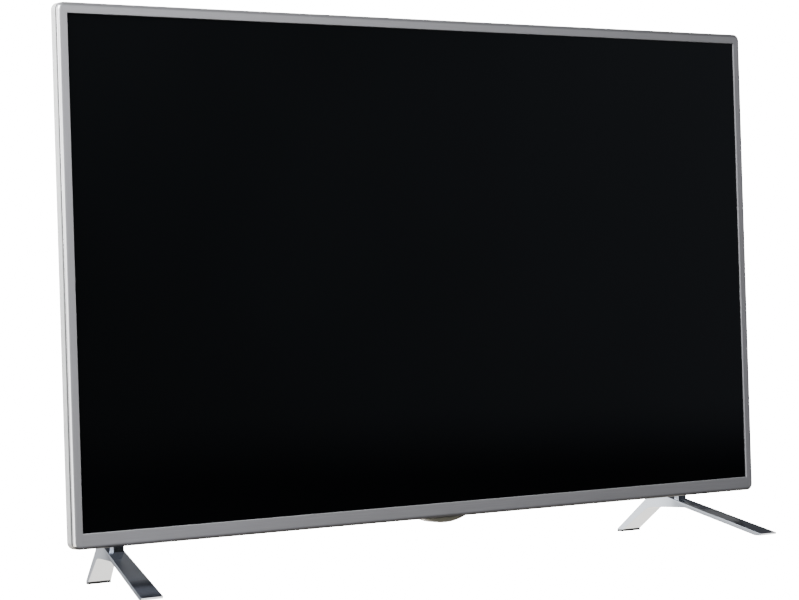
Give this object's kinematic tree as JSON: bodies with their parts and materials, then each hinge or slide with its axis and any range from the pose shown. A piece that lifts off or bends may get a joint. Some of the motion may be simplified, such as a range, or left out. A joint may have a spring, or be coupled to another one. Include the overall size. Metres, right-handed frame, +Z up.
{
  "type": "flat screen television",
  "caption": "Flat screen television with a slim silver bezel, a lower rear bulge with a connector bay, down-firing speakers, and bent blade feet",
  "frame": {"origin": "on the floor, at the middle of the box round the whole set", "axes": "+X to the right seen from the front, +Y to the back, +Z up"},
  "size_m": [0.961, 0.197, 0.61],
  "materials": {
    "lead_red": "satin",
    "pan_steel": "galvanised",
    "can_black": "gloss black",
    "screw_black": "black",
    "milky_sheet": "frosted",
    "screen_glass": "dark, low gloss",
    "bracket_steel": "galvanised",
    "pad_rubber": "matt",
    "screw_steel": "plain",
    "bezel_silver": "satin hairline silver",
    "socket_metal": "plated",
    "cap_black": "matt black",
    "stem_steel": "plain",
    "socket_black": "matt black",
    "lens_clear": "clear",
    "strip_metal": "satin",
    "foot_silver": "polished silver",
    "speaker_black": "matt black",
    "cone_black": "matt",
    "basket_steel": "black",
    "magnet_steel": "plated",
    "guide_clear": "clear",
    "sink_black": "anodised black",
    "pin_brass": "plated",
    "clear_film": "frosted",
    "flex_amber": "satin",
    "dark_frame": "matt",
    "board_tan": "satin",
    "sink_plain": "plain",
    "cover_silver": "satin light silver",
    "white_sheet": "matt white",
    "pod_smoke": "smoked translucent",
    "board_green": "satin",
    "lead_black": "satin",
    "terminal_black": "matt black",
    "core_dark": "matt",
    "ribbon_white": "satin",
    "post_steel": "plain"
  },
  "bodies": {
    "cabinet": {"aerial_tuner": "socket_metal", "av_jacks": "socket_black", "backlight_leads": "lead_red", "backlight_pan": "pan_steel", "board_screws": "screw_steel", "board_standoffs": "post_steel", "capacitors": "can_black", "cover_screws": "screw_black", "diffuser_plate": "milky_sheet", "display_glass": "screen_glass", "foot_brackets": "bracket_steel", "foot_pads": "pad_rubber", "foot_screws": "screw_steel", "front_bezel": "bezel_silver", "hdmi_sockets": "socket_metal", "joystick_base": "socket_black", "key_board": "board_green", "lan_socket": "socket_black", "led_lenses": "lens_clear", "led_strips": "strip_metal", "left_foot": "foot_silver", "left_speaker_box": "speaker_black", "left_speaker_frame": "basket_steel", "left_speaker_magnet": "magnet_steel", "light_guide": "guide_clear", "main_board": "board_green", "main_heat_sink": "sink_black", "mains_inlet": "socket_black", "mains_pins": "pin_brass", "optical_sheets": "clear_film", "optical_socket": "socket_black", "panel_flex": "flex_amber", "panel_frame": "dark_frame", "power_board": "board_tan", "power_heat_sink": "sink_plain", "rear_cover": "cover_silver", "reflector_sheet": "white_sheet", "right_foot": "foot_silver", "right_speaker_box": "speaker_black", "right_speaker_frame": "basket_steel", "right_speaker_magnet": "magnet_steel", "sensor_pod": "pod_smoke", "sheet_supports": "milky_sheet", "source_boards": "board_green", "speaker_leads": "lead_black", "supply_lead": "lead_black", "terminal_panel": "terminal_black", "timing_board": "board_green", "transformers": "core_dark", "usb_socket": "socket_metal", "video_cable": "ribbon_white", "wall_mount_posts": "post_steel", "wifi_module": "board_green"},
    "ring": {"joystick_ring": "socket_black"},
    "rocker": {"joystick_rocker": "socket_black"},
    "stem": {"joystick_stem": "stem_steel", "joystick_cap": "cap_black"},
    "shutter": {"optical_shutter": "socket_black"},
    "left_cone": {"left_speaker_cone": "cone_black"},
    "right_cone": {"right_speaker_cone": "cone_black"}
  },
  "joints": [
    {"name": "joystick_tilt_x", "type": "hinge", "parent": "cabinet", "child": "ring", "pos_m": [0, -0.0015, 0.0575], "axis": [1, 0, 0], "range_deg": [-6, 6], "stiffness_Nm_per_rad": 0.004},
    {"name": "joystick_tilt_y", "type": "hinge", "parent": "ring", "child": "rocker", "pos_m": [0, -0.0015, 0.0575], "axis": [0, 1, 0], "range_deg": [-6, 6], "stiffness_Nm_per_rad": 0.004},
    {"name": "joystick_press", "type": "slide", "parent": "rocker", "child": "stem", "axis": [0, 0, 1], "range_m": [0, 0.0008], "stiffness_N_per_m": 150},
    {"name": "optical_shutter_hinge", "type": "hinge", "parent": "cabinet", "child": "shutter", "pos_m": [0.317, 0.007, 0.168], "axis": [1, 0, 0], "range_deg": [0, 85], "stiffness_Nm_per_rad": 0.00002},
    {"name": "left_cone_travel", "type": "slide", "parent": "cabinet", "child": "left_cone", "axis": [0, 0, 1], "range_m": [-0.0005, 0.0005], "stiffness_N_per_m": 500},
    {"name": "right_cone_travel", "type": "slide", "parent": "cabinet", "child": "right_cone", "axis": [0, 0, 1], "range_m": [-0.0005, 0.0005], "stiffness_N_per_m": 500}
  ]
}
